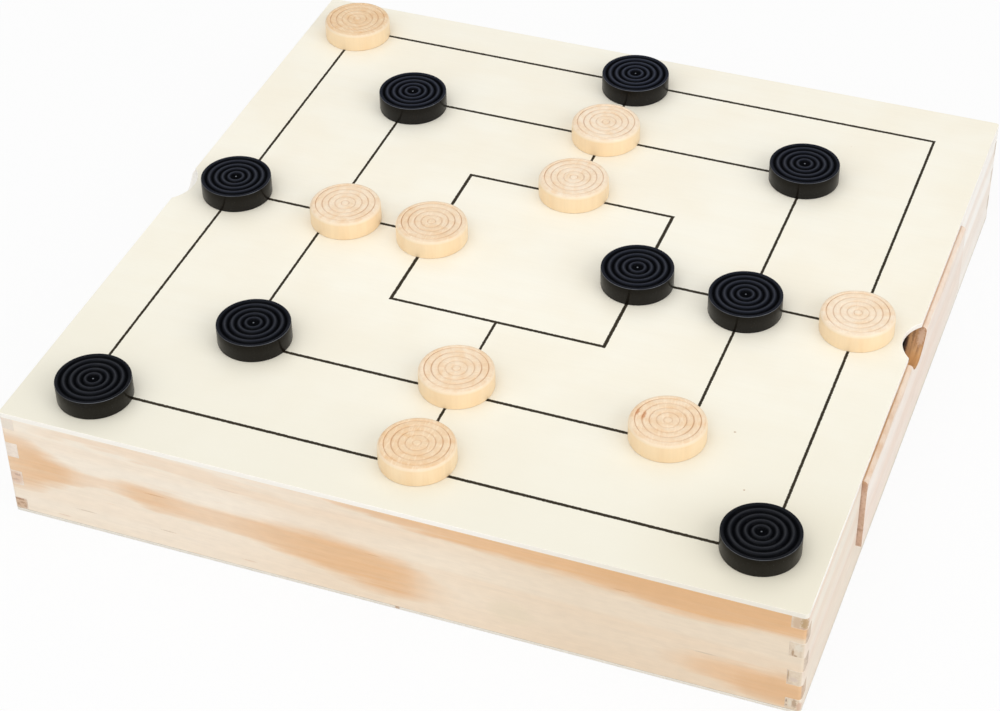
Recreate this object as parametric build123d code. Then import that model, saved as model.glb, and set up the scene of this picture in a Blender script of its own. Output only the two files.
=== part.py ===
from build123d import *
import os

# A nine men's morris box: a finger-jointed case under a thin game board, two drawers that pull
# out to the left and to the right, and nine black and nine natural discs that stand on the board.
# Sizes are in millimetres. The origin is at the centre of the underside, X runs along the front,
# Y towards the back and Z up.

# Case
case_width = 300.0
case_depth = 300.0
corner_radius = 1.5
wall_height = 44.0
wall_thickness = 5.5
base_thickness = 1.5
board_thickness = 2.0
board_edge_chamfer = 0.6

# Finger joints between the walls, counted in slots from the foot of a corner to its top
finger_slots = 7
end_finger_height = 5.2

# Drawer openings in the side walls, and the strips inside that carry the drawers
sill_height = 12.5
ledge_width = 10.0
guide_thickness = 6.0
divider_thickness = 6.0

# Drawers
drawer_width = 157.0
drawer_front_thickness = 7.0
drawer_front_proud = 2.0
drawer_front_edge_radius = 1.5
drawer_side_thickness = 5.0
drawer_back_thickness = 5.0
drawer_side_drop = 5.0
drawer_base_thickness = 3.0
groove_lift = 3.0
groove_depth = 2.5

# Half-moon openings for a fingertip, in the board's edge and in the drawer front below it
bite_width = 21.5
bite_depth = 4.5
notch_width = 23.5
notch_depth = 7.5

# Clearances
drawer_side_clearance = 0.5
drawer_top_clearance = 0.5
groove_play = 0.2

# Playing diagram and discs
diagram_margin = 22.0
disc_diameter = 28.0
disc_thickness = 8.0
disc_rim_chamfer = 0.6

# Where each disc stands: the square, the steps from its middle to the right and to the back,
# and how far by hand the disc is set beside its point
black_places = [
    ("outer", 0, 1, 0.1, -2.7),
    ("outer", 1, -1, -1.5, 3.0),
    ("outer", -1, -1, 6.7, -1.4),
    ("outer", -1, 0, 1.3, 1.5),
    ("middle", -1, 1, 2.0, -3.5),
    ("middle", 1, 1, -1.0, -0.3),
    ("middle", 1, 0, 0.5, -3.9),
    ("middle", -1, -1, 4.9, 4.5),
    ("inner", 1, 0, 0.0, -1.7),
]
natural_places = [
    ("outer", -1, 1, 0.4, -1.8),
    ("outer", 1, 0, -0.1, -0.9),
    ("outer", 0, -1, 1.8, 5.3),
    ("middle", 0, 1, 0.1, 1.3),
    ("middle", 1, -1, -5.1, 3.4),
    ("middle", 0, -1, -0.1, 5.0),
    ("middle", -1, 0, 7.1, -0.8),
    ("inner", 0, 1, 0.6, 2.8),
    ("inner", -1, 0, 0.9, -0.7),
]

# Levels and places that follow from the sizes above
board_underside = base_thickness + wall_height
board_top = board_underside + board_thickness
sill_top = base_thickness + sill_height
guide_face = drawer_width / 2 + drawer_side_clearance
wall_inner_face = case_width / 2 - wall_thickness
drawer_rear = divider_thickness / 2
drawer_front_face = case_width / 2 + drawer_front_proud
drawer_front_inner_face = drawer_front_face - drawer_front_thickness
drawer_front_top = board_underside - drawer_top_clearance
drawer_side_top = drawer_front_top - drawer_side_drop
drawer_inner_half_width = drawer_width / 2 - drawer_side_thickness
square_reach = {
    "outer": min(case_width, case_depth) / 2 - diagram_margin,
    "middle": (min(case_width, case_depth) / 2 - diagram_margin) * 2 / 3,
    "inner": (min(case_width, case_depth) / 2 - diagram_margin) / 3,
}


def panel(x_limits, y_limits, z_limits):
    """A flat-sided board between two limits along each axis."""
    centre = [sum(limits) / 2 for limits in (x_limits, y_limits, z_limits)]
    size = [limits[1] - limits[0] for limits in (x_limits, y_limits, z_limits)]
    return Pos(*centre) * Box(*size)


def arc_radius(chord, rise):
    """Radius of the arc that rises this far over this chord."""
    return (chord**2 / 4 + rise**2) / (2 * rise)


def case_block(bottom, height):
    """A slab with the outline of the case, its upright corners rounded."""
    outline = RectangleRounded(case_width, case_depth, corner_radius)
    return Pos(0, 0, bottom) * extrude(outline, height)


def finger_shoulders():
    """Heights at which the fingers of a corner joint begin and end."""
    middle_height = (wall_height - 2 * end_finger_height) / (finger_slots - 2)
    shoulders = [end_finger_height + i * middle_height for i in range(finger_slots - 1)]
    return [base_thickness + height for height in [0.0, *shoulders, wall_height]]


def comb_wall(length, first_gap):
    """A wall along X behind Y = 0, with every other slot of the finger joint cut from both ends."""
    wall = panel((-length / 2, length / 2), (0, wall_thickness), (base_thickness, board_underside))
    shoulders = finger_shoulders()
    for slot in range(first_gap, finger_slots, 2):
        gap_levels = (shoulders[slot], shoulders[slot + 1])
        gap = panel((0, wall_thickness), (0, wall_thickness), gap_levels)
        wall -= Pos(-length / 2, 0, 0) * gap
        wall -= Pos(length / 2 - wall_thickness, 0, 0) * gap
    return wall


def front_wall():
    """The long wall at the front: its fingers fill the gaps between those of the side walls."""
    wall = Pos(0, -case_depth / 2, 0) * comb_wall(case_width, 0)
    return wall & case_block(base_thickness, wall_height)


def right_wall():
    """The wall at the right, cut away over its sill where the drawer comes out."""
    wall = Pos(case_width / 2, 0, 0) * Rot(0, 0, 90) * comb_wall(case_depth, 1)
    opening_x = (wall_inner_face, case_width / 2)
    wall -= panel(opening_x, (-guide_face, guide_face), (sill_top, board_underside))
    return wall & case_block(base_thickness, wall_height)


def game_board():
    """The top: a thin board with broken upper edges and a half-moon bite over each drawer."""
    board = case_block(board_underside, board_thickness)
    radius = arc_radius(bite_width, bite_depth)
    cutter = Cylinder(radius, board_thickness)
    for side in (-1, 1):
        x = side * (case_width / 2 - bite_depth + radius)
        board -= Pos(x, 0, board_underside + board_thickness / 2) * cutter
    return chamfer(board.faces().sort_by(Axis.Z)[-1].edges(), board_edge_chamfer)


def back_drawer_guide():
    """The L-shaped strip behind the drawers: its ledge carries them, its upright guides them."""
    outer = guide_face + guide_thickness
    profile = Polyline(
        (guide_face - ledge_width, base_thickness),
        (outer, base_thickness),
        (outer, board_underside),
        (guide_face, board_underside),
        (guide_face, sill_top),
        (guide_face - ledge_width, sill_top),
        close=True,
    )
    return extrude(Plane.YZ * make_face(profile), wall_inner_face, both=True)


def centre_divider():
    """The upright board between the ledges that both drawers stop against."""
    half_length = guide_face - ledge_width
    across = (-divider_thickness / 2, divider_thickness / 2)
    return panel(across, (-half_length, half_length), (base_thickness, board_underside))


def base_groove():
    """The space that the drawer's walls leave free for the edges of its base."""
    half_width = drawer_inner_half_width + groove_depth
    rear = drawer_rear + drawer_back_thickness - groove_depth
    bottom = sill_top + groove_lift
    levels = (bottom, bottom + drawer_base_thickness + groove_play)
    return panel((rear, drawer_front_inner_face + groove_depth), (-half_width, half_width), levels)


def drawer_front():
    """The right drawer's front: it stands proud of the wall and has the fingertip notch."""
    front_x = (drawer_front_inner_face, drawer_front_face)
    front = panel(front_x, (-drawer_width / 2, drawer_width / 2), (sill_top, drawer_front_top))
    outer_top_edge = front.edges().filter_by(Axis.Y).group_by(Axis.Z)[-1].sort_by(Axis.X)[-1]
    front = fillet(outer_top_edge, drawer_front_edge_radius)
    radius = arc_radius(notch_width, notch_depth)
    cutter = Rot(0, 90, 0) * Cylinder(radius, drawer_front_thickness)
    front -= Pos(sum(front_x) / 2, 0, drawer_front_top - notch_depth + radius) * cutter
    return front - base_groove()


def drawer_back_side():
    """The side of the right drawer that lies towards the back of the box."""
    across = (drawer_inner_half_width, drawer_width / 2)
    side = panel((drawer_rear, drawer_front_inner_face), across, (sill_top, drawer_side_top))
    return side - base_groove()


def drawer_back():
    """The right drawer's inner end, between its sides."""
    rear_x = (drawer_rear, drawer_rear + drawer_back_thickness)
    across = (-drawer_inner_half_width, drawer_inner_half_width)
    back = panel(rear_x, across, (sill_top, drawer_side_top))
    return back - base_groove()


def drawer_base():
    """The right drawer's thin base, let into the groove all round."""
    half_width = drawer_inner_half_width + groove_depth - groove_play
    rear = drawer_rear + drawer_back_thickness - groove_depth + groove_play
    front = drawer_front_inner_face + groove_depth - groove_play
    bottom = sill_top + groove_lift
    levels = (bottom, bottom + drawer_base_thickness)
    return panel((rear, front), (-half_width, half_width), levels)


def disc():
    """A playing disc, turned about Z, with a broken upper rim."""
    radius = disc_diameter / 2
    profile = Polyline(
        (0, 0),
        (radius, 0),
        (radius, disc_thickness - disc_rim_chamfer),
        (radius - disc_rim_chamfer, disc_thickness),
        (0, disc_thickness),
        close=True,
    )
    return revolve(Plane.XZ * make_face(profile), Axis.Z)


def disc_place(square, right_steps, back_steps, beside_x, beside_y):
    """The point on the board where a disc stands."""
    reach = square_reach[square]
    return Pos(right_steps * reach + beside_x, back_steps * reach + beside_y, board_top)


def case_parts():
    """The pieces that are glued together into the case, by name."""
    half_turn = Rot(0, 0, 180)
    return {
        "base_board": case_block(0, base_thickness),
        "front_wall": front_wall(),
        "back_wall": half_turn * front_wall(),
        "right_wall": right_wall(),
        "left_wall": half_turn * right_wall(),
        "front_drawer_guide": half_turn * back_drawer_guide(),
        "back_drawer_guide": back_drawer_guide(),
        "centre_divider": centre_divider(),
        "game_board": game_board(),
    }


def drawer_parts(side):
    """The five pieces of the right or the left drawer, by name."""
    turn = Rot(0, 0, 0 if side == "right" else 180)
    across = Plane.XZ
    side_panels = {"back": drawer_back_side(), "front": mirror(drawer_back_side(), across)}
    towards_back, towards_front = ("back", "front") if side == "right" else ("front", "back")
    return {
        f"{side}_drawer_front": turn * drawer_front(),
        f"{side}_drawer_{towards_back}_side": turn * side_panels["back"],
        f"{side}_drawer_{towards_front}_side": turn * side_panels["front"],
        f"{side}_drawer_back": turn * drawer_back(),
        f"{side}_drawer_base": turn * drawer_base(),
    }


def disc_parts(colour, places):
    """One set of discs on their points, numbered from 1."""
    return {
        f"{colour}_disc_{number}": disc_place(*place) * disc()
        for number, place in enumerate(places, start=1)
    }


os.makedirs("parts", exist_ok=True)
all_parts = {
    **case_parts(),
    **drawer_parts("right"),
    **drawer_parts("left"),
    **disc_parts("black", black_places),
    **disc_parts("natural", natural_places),
}
for name, part in all_parts.items():
    export_step(part, f"parts/{name}.step")
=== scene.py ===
"""Visual model of a nine men's morris box.

A finger-jointed pine case carries a printed board, two drawers run out to the left and the
right, and nine black and nine natural discs stand on the board. Lengths are in metres, in the
frame of the construction model: X to the right along the front, Y towards the back, Z up.
"""

import sys

import logging
import math
import random
from dataclasses import dataclass
from enum import Enum
from typing import Any, Callable, ClassVar, Iterable, Sequence

import bmesh
import bpy
import numpy as np
from mathutils import Matrix, Vector


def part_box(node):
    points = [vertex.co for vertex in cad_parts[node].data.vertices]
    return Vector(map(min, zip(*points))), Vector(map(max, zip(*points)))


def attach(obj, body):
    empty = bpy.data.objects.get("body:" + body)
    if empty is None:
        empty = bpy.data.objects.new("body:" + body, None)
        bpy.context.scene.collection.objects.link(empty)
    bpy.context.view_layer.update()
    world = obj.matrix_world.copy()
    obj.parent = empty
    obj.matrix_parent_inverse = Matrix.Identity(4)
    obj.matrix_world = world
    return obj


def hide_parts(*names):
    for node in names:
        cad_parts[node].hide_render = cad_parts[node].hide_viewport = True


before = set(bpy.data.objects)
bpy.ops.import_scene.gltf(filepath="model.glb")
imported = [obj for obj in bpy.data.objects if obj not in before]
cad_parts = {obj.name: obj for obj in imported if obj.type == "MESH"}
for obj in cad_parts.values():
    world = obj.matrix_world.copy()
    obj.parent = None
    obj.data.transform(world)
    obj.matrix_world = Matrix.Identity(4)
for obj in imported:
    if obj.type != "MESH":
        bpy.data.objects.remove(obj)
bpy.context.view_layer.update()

log = logging.getLogger("morris_box")

MM = 0.001
HAIR = 0.01 * MM  # levels closer than this are one level
WELD = 1e-6  # corners closer than this are one corner
ALONG_TREE = (1.0, 9.0)  # where in the tree a piece may come from, in metres
FLAT = math.radians(0.5)
SHARP = math.radians(30)
CRISP = math.radians(50)

# Where a noise field spends most of its time, narrowly and widely taken
MOSTLY = (0.3, 0.7)
WIDELY = (0.25, 0.75)

Limits = tuple[float, float]
Triple = tuple[float, float, float]
Colour = tuple[float, float, float]
Outline = Sequence[tuple[float, float]]
Socket = bpy.types.NodeSocket
Tree = bpy.types.NodeTree
Material = bpy.types.Material
Solid = bmesh.types.BMesh
Edge = bmesh.types.BMEdge


# --- Choices ---------------------------------------------------------------------------------


class Axis(Enum):
    """An axis of the box, by its place in a coordinate."""

    X = 0
    Y = 1
    Z = 2


class Side(Enum):
    """The side of the box that a drawer opens to, by the sign of its X."""

    RIGHT = 1
    LEFT = -1


class Operation(Enum):
    """What a carving tool does to a workpiece."""

    CUT = "DIFFERENCE"
    KEEP = "INTERSECT"


class Slot(Enum):
    """The material slots of the record."""

    PRINTED_BOARD = "printed_board"
    PLYWOOD = "plywood"
    PINE = "pine"
    BEECH = "natural_beech"
    LACQUER = "black_lacquered_wood"


class DiscColour(Enum):
    """The two sets of discs."""

    BLACK = "black"
    NATURAL = "natural"


# --- Mesh work -------------------------------------------------------------------------------


def prism(outline: Outline, axis: Axis, limits: Limits) -> Solid:
    """Draws a closed outline out along an axis.

    Args:
        outline: Corners in the plane across the axis, in the order X, Y, Z of the other two.
        axis: The axis that the outline is drawn out along.
        limits: Where the solid begins and ends on that axis.

    Returns:
        The solid as a mesh.
    """
    solid = bmesh.new()
    rings = []
    for level in limits:
        points = [list(corner) for corner in outline]
        for point in points:
            point.insert(axis.value, level)
        rings.append([solid.verts.new(point) for point in points])
    lower, upper = rings
    solid.faces.new(lower)
    solid.faces.new(upper)
    for i in range(len(outline)):
        j = (i + 1) % len(outline)
        solid.faces.new((lower[i], lower[j], upper[j], upper[i]))
    bmesh.ops.recalc_face_normals(solid, faces=solid.faces)
    return solid


def slab(x: Limits, y: Limits, z: Limits) -> Solid:
    """Makes a square-edged board between two limits along each axis."""
    return prism([(x[0], y[0]), (x[1], y[0]), (x[1], y[1]), (x[0], y[1])], Axis.Z, z)


def rounded_rectangle(width: float, depth: float, radius: float, steps: int = 8) -> Outline:
    """Draws a rectangle about the origin, with round corners of so many straight steps each."""
    outline = []
    for quarter, (sx, sy) in enumerate(((1, 1), (-1, 1), (-1, -1), (1, -1))):
        for step in range(steps + 1):
            angle = (quarter + step / steps) * math.pi / 2
            x = sx * (width / 2 - radius) + radius * math.cos(angle)
            y = sy * (depth / 2 - radius) + radius * math.sin(angle)
            outline.append((x, y))
    return outline


def round_outline(centre: tuple[float, float], radius: float, steps: int = 96) -> Outline:
    """Draws a circle as an outline of straight pieces."""
    turns = (2 * math.pi * i / steps for i in range(steps))
    return [(centre[0] + radius * math.cos(a), centre[1] + radius * math.sin(a)) for a in turns]


def arc_radius(chord: float, rise: float) -> float:
    """Gives the radius of the arc that rises this far over this chord."""
    return (chord**2 / 4 + rise**2) / (2 * rise)


def to_object(solid: Solid, name: str) -> bpy.types.Object:
    """Turns a mesh under construction into an object of the scene and frees it."""
    mesh = bpy.data.meshes.new(name)
    solid.to_mesh(mesh)
    solid.free()
    made = bpy.data.objects.new(name, mesh)
    bpy.context.scene.collection.objects.link(made)
    return made


def carve(solid: Solid, tool: Solid, operation: Operation = Operation.CUT) -> Solid:
    """Cuts a solid with another one, or keeps only what they share.

    Args:
        solid: The workpiece, which is used up.
        tool: The shape that it meets, which is used up.
        operation: Whether the shared part goes or stays.

    Returns:
        The carved workpiece, its flat faces in one piece each.
    """
    target, cutter = to_object(solid, "workpiece"), to_object(tool, "tool")
    cut = target.modifiers.new("Carve", "BOOLEAN")
    cut.object = cutter
    cut.operation = operation.value
    cut.solver = "EXACT"
    graph = bpy.context.evaluated_depsgraph_get()
    mesh = bpy.data.meshes.new_from_object(target.evaluated_get(graph))
    carved = bmesh.new()
    carved.from_mesh(mesh)
    for spent in (target, cutter):
        data = spent.data
        bpy.data.objects.remove(spent)
        bpy.data.meshes.remove(data)
    bpy.data.meshes.remove(mesh)
    bmesh.ops.remove_doubles(carved, verts=carved.verts, dist=WELD)
    bmesh.ops.dissolve_limit(carved, angle_limit=FLAT, verts=carved.verts, edges=carved.edges)
    return carved


def mirrored(solid: Solid, side: Side) -> Solid:
    """Turns a solid made for the right half round to the side where it belongs."""
    if side is Side.LEFT:
        half_turn = Matrix.Rotation(math.pi, 3, "Z")
        bmesh.ops.rotate(solid, cent=(0, 0, 0), matrix=half_turn, verts=solid.verts)
    return solid


def ease(
    solid: Solid,
    width: float,
    steps: int = 2,
    chosen: Callable[[Edge], bool] = lambda edge: True,
) -> Solid:
    """Rounds the sharp outer edges of a solid and marks the new faces as its arrises.

    Args:
        solid: The workpiece.
        width: How far each rounding reaches from the old edge.
        steps: Faces across a rounding.
        chosen: Says which of the sharp edges are rounded.

    Returns:
        The workpiece.
    """
    arris = solid.faces.layers.float.get("arris") or solid.faces.layers.float.new("arris")
    sharp = [
        edge
        for edge in solid.edges
        if len(edge.link_faces) == 2 and edge.calc_face_angle_signed(0.0) > SHARP and chosen(edge)
    ]
    shape = {"offset": width, "segments": steps, "profile": 0.5, "clamp_overlap": True}
    made = bmesh.ops.bevel(solid, geom=sharp, affect="EDGES", **shape)
    for face in made["faces"]:
        face[arris] = 1.0
    return solid


def write_attribute(mesh: bpy.types.Mesh, name: str, domain: str, values: np.ndarray) -> None:
    """Stores numbers or vectors on a mesh for its materials to read.

    Args:
        mesh: The mesh that carries them.
        name: The name that the materials ask for.
        domain: POINT or FACE.
        values: One row for each point or face.
    """
    kind, what = ("FLOAT_VECTOR", "vector") if values.ndim == 2 else ("FLOAT", "value")
    made = mesh.attributes.new(name, kind, domain)
    made.data.foreach_set(what, values.astype(np.float32).ravel())


@dataclass(frozen=True)
class Stock:
    """How a piece was sawn: the way its fibres run and where in the tree it lay.

    Attributes:
        along: The axis that the fibres follow.
        heart: How far the heart of the tree lies from the piece, in the two directions across.
        slope: How far the heart comes nearer for each metre along the fibres.
        sheet: Whether the piece is cut from a sheet, so that every side face shows edges.
    """

    along: Axis
    heart: tuple[float, float] = (0.03, 0.004)
    slope: float = 0.0
    sheet: bool = False

    @staticmethod
    def read(items: Any, what: str) -> np.ndarray:
        """Reads one vector for each of a mesh's vertices or faces, as rows."""
        values = np.zeros(len(items) * 3, np.float32)
        items.foreach_get(what, values)
        return values.reshape(-1, 3).astype(float)

    def describe(self, mesh: bpy.types.Mesh, name: str) -> None:
        """Writes onto a mesh where its points lay in the tree and which faces are end grain.

        Args:
            mesh: The finished mesh, in the frame of the box.
            name: The piece's name, which settles the part of the tree it comes from.
        """
        points = self.read(mesh.vertices, "co")
        normals = self.read(mesh.polygons, "normal")
        middle = (points.min(0) + points.max(0)) / 2
        order = [self.along.value] + [i for i in range(3) if i != self.along.value]
        timber = (points - middle)[:, order]
        timber[:, 1] += self.heart[0]
        timber[:, 2] += self.heart[1] + self.slope * timber[:, 0]
        timber[:, 0] += random.Random(name).uniform(*ALONG_TREE)
        write_attribute(mesh, "timber", "POINT", timber)
        ends = 1 - abs(normals[:, 2]) if self.sheet else abs(normals[:, self.along.value])
        write_attribute(mesh, "ends", "FACE", ends)


@dataclass
class Piece:
    """One finished piece of the box, standing for a node of the construction model.

    Attributes:
        name: Name of the node that it stands for.
        body: Name of the body that it moves with.
        slot: Material slot of the record; not used.
    """

    name: str
    body: str
    slot: Slot

    def saw(self, solid: Solid, stock: Stock, material: Material) -> None:
        """Turns a sawn solid into the piece, with even faces, and delivers it."""
        for face in solid.faces:
            face.smooth = True
        for edge in solid.edges:
            edge.smooth = len(edge.link_faces) == 2 and edge.calc_face_angle(0.0) < CRISP
        made = to_object(solid, f"{self.name}_finished")
        stock.describe(made.data, self.name)
        even = made.modifiers.new("Even faces", "WEIGHTED_NORMAL")
        even.weight = 100
        even.keep_sharp = True
        self.deliver(made, material)

    def deliver(self, made: bpy.types.Object, material: Material) -> None:
        """Dresses the piece and puts it in its place."""
        made.data.materials.append(material)
        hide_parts(self.name)
        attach(made, self.body)
        log.info("%s: %d faces, moves with %s", self.name, len(made.data.polygons), self.body)


# --- Node work -------------------------------------------------------------------------------


def shade(red: int, green: int, blue: int) -> Colour:
    """Turns a colour written in screen values from 0 to 255 into the light it stands for."""

    def light(value: int) -> float:
        """Undoes the screen's curve for one channel."""
        part = value / 255
        return part / 12.92 if part <= 0.04045 else ((part + 0.055) / 1.055) ** 2.4

    return light(red), light(green), light(blue)


class Graph:
    """Puts nodes into one tree and joins them."""

    CELL: ClassVar[tuple[int, int]] = (190, 260)
    COLUMNS: ClassVar[int] = 12
    ROUGHNESS: ClassVar[float] = 0.55

    def __init__(self, tree: Tree) -> None:
        """Takes the tree that the nodes go into."""
        self.tree = tree
        self.known: dict[str, Any] = {}

    def feed(self, socket: Socket, value: Any) -> None:
        """Joins a socket to another one, or sets its own value."""
        if isinstance(value, bpy.types.NodeSocket):
            self.tree.links.new(value, socket)
        elif value is not None:
            if socket.type == "RGBA" and len(value) == 3:
                value = (*value, 1.0)
            socket.default_value = value

    def fill(self, sockets: Any, **values: Any) -> None:
        """Feeds a node's sockets, named with underscores for spaces."""
        for key, value in values.items():
            self.feed(sockets[key.replace("_", " ")], value)

    def put(self, kind: str, inputs: dict[Any, Any] | None = None, **settings: Any) -> Any:
        """Adds a node.

        Args:
            kind: The node's type.
            inputs: What each of its sockets gets, by name or number.
            **settings: The node's own options.

        Returns:
            The new node's outputs.
        """
        node = self.tree.nodes.new(kind)
        row, column = divmod(len(self.tree.nodes), self.COLUMNS)
        node.location = (self.CELL[0] * column, -self.CELL[1] * row)
        for key, value in settings.items():
            setattr(node, key, value)
        for key, value in (inputs or {}).items():
            self.feed(node.inputs[key], value)
        return node.outputs

    def use(self, effect: Callable[[], Tree], **inputs: Any) -> Any:
        """Places a shared effect, feeds its inputs and gives its outputs."""
        outputs = self.put("ShaderNodeGroup", node_tree=Effects.get(effect))
        self.fill(self.tree.nodes[-1].inputs, **inputs)
        return outputs

    def math(self, operation: str, *values: Any, clamp: bool = False) -> Socket:
        """Works a sum with one, two or three numbers."""
        inputs = dict(enumerate(values))
        return self.put("ShaderNodeMath", inputs, operation=operation, use_clamp=clamp)[0]

    def times(self, first: Any, second: Any) -> Socket:
        """Multiplies two numbers."""
        return self.math("MULTIPLY", first, second)

    def swing(self, field: Socket) -> Socket:
        """Moves a random field so that it swings about nothing."""
        return self.math("SUBTRACT", field, 0.5)

    def rest(self, share: Socket) -> Socket:
        """Gives what is left of one."""
        return self.math("SUBTRACT", 1.0, share)

    def vector(self, operation: str, *values: Any) -> Socket:
        """Works a sum with vectors and gives a vector."""
        return self.put("ShaderNodeVectorMath", dict(enumerate(values)), operation=operation)[0]

    def length(self, vector: Socket) -> Socket:
        """Gives the length of a vector."""
        return self.put("ShaderNodeVectorMath", {0: vector}, operation="LENGTH")["Value"]

    def split(self, vector: Socket) -> tuple[Socket, Socket, Socket]:
        """Takes a vector apart."""
        x, y, z = self.put("ShaderNodeSeparateXYZ", {0: vector})
        return x, y, z

    def blend(self, share: Any, first: Any, second: Any, mode: str = "MIX") -> Socket:
        """Mixes a share of a second colour into a first one."""
        inputs = {0: share, 6: first, 7: second}
        return self.put("ShaderNodeMix", inputs, data_type="RGBA", blend_type=mode)[2]

    def noise(self, vector: Socket, scale: float | Triple, detail: float = 2.0) -> Socket:
        """Gives an even random field from 0 to 1.

        Args:
            vector: Place in the field.
            scale: How fine the field is, all round or along each axis.
            detail: How many finer fields are laid over it.

        Returns:
            The field's value.
        """
        if isinstance(scale, tuple):
            vector, scale = self.vector("MULTIPLY", vector, scale), 1.0
        inputs = dict(Vector=vector, Scale=scale, Detail=detail, Roughness=self.ROUGHNESS)
        return self.put("ShaderNodeTexNoise", inputs)[0]

    def ramp(
        self, value: Any, start: Limits, end: Limits = (0.0, 1.0), soft: bool = True
    ) -> Socket:
        """Carries a range of values over to another range and holds it there.

        Args:
            value: The number to carry over.
            start: The range it comes from.
            end: The range it goes to.
            soft: Whether it eases in and out.

        Returns:
            The new number.
        """
        inputs = dict(enumerate((value, *start, *end)))
        kind = "SMOOTHSTEP" if soft else "LINEAR"
        return self.put("ShaderNodeMapRange", inputs, interpolation_type=kind)[0]

    def vary(
        self, tone: Any, field: Socket, start: Limits, end: Limits, soft: bool = False
    ) -> Socket:
        """Darkens and lightens a colour with a field that is carried over as by ramp."""
        return self.blend(1.0, tone, self.ramp(field, start, end, soft), "MULTIPLY")

    def read(self, name: str, what: str) -> Socket:
        """Reads what a mesh says about itself, once for the whole tree."""
        if name not in self.known:
            self.known[name] = self.put("ShaderNodeAttribute", attribute_name=name)
        return self.known[name][what]

    def number(self, name: str) -> Socket:
        """Reads a number that a mesh says about itself."""
        return self.read(name, "Fac")

    def triple(self, name: str) -> Socket:
        """Reads a vector that a mesh says about itself."""
        return self.read(name, "Vector")

    def place(self) -> Socket:
        """Gives the place on the piece, in the frame of the box."""
        return self.put("ShaderNodeTexCoord")["Object"]

    def grain(self, ring_width: float, sway: float) -> tuple[Socket, Any]:
        """Gives where each point lay in the tree, and the figure of the wood there."""
        timber = self.triple("timber")
        return timber, self.use(Effects.timber, Timber=timber, Ring_Width=ring_width, Sway=sway)

    def wear(self, place: Socket, amount: float, tone: Socket, colour: Colour) -> Socket:
        """Lays an edge colour: sanded pine, painted shadow on plywood, painted highlight on
        lacquer.
        """
        arris = self.number("arris")
        worn_and_painted_light = self.use(Effects.arris_wear_and_painted_light, Place=place, Arris=arris, Amount=amount)["Mask"]
        return self.blend(worn_and_painted_light, tone, colour)

    def bump(self, height: Socket, strength: float, depth: float) -> Socket:
        """Turns a height field into a normal."""
        inputs = {"Strength": strength, "Distance": depth, "Height": height}
        return self.put("ShaderNodeBump", inputs)[0]

    def curve(self, value: Socket, knots: Sequence[tuple[float, float]]) -> Socket:
        """Draws a smooth curve through knots, whose coordinates lie between 0 and 1."""
        outputs = self.put("ShaderNodeFloatCurve", {1: value})
        mapping = self.tree.nodes[-1].mapping
        line = mapping.curves[0]
        line.points[0].location = knots[0]
        line.points[1].location = knots[-1]
        for knot in knots[1:-1]:
            line.points.new(*knot)
        mapping.update()
        return outputs[0]


class SharedEffect(Graph):
    """A node group with named inputs and outputs, built once and placed in many materials."""

    def __init__(self, name: str, outputs: Iterable[str], **inputs: float | None) -> None:
        """Makes the group's sockets.

        Args:
            name: The effect's name.
            outputs: The names of the masks and values that it gives.
            **inputs: Each input's number, or None for a vector, by its name with underscores.
        """
        super().__init__(bpy.data.node_groups.new(name, "ShaderNodeTree"))
        face = self.tree.interface
        for label, value in inputs.items():
            kind = "NodeSocketVector" if value is None else "NodeSocketFloat"
            socket = face.new_socket(label.replace("_", " "), in_out="INPUT", socket_type=kind)
            if value is not None:
                socket.default_value = value
        for label in outputs:
            face.new_socket(label, in_out="OUTPUT", socket_type="NodeSocketFloat")
        self.given = self.put("NodeGroupInput")
        self.put("NodeGroupOutput")
        self.result = self.tree.nodes[-1].inputs

    def answer(self, **values: Socket) -> Tree:
        """Joins the results to the outputs."""
        self.fill(self.result, **values)
        return self.tree


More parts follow.
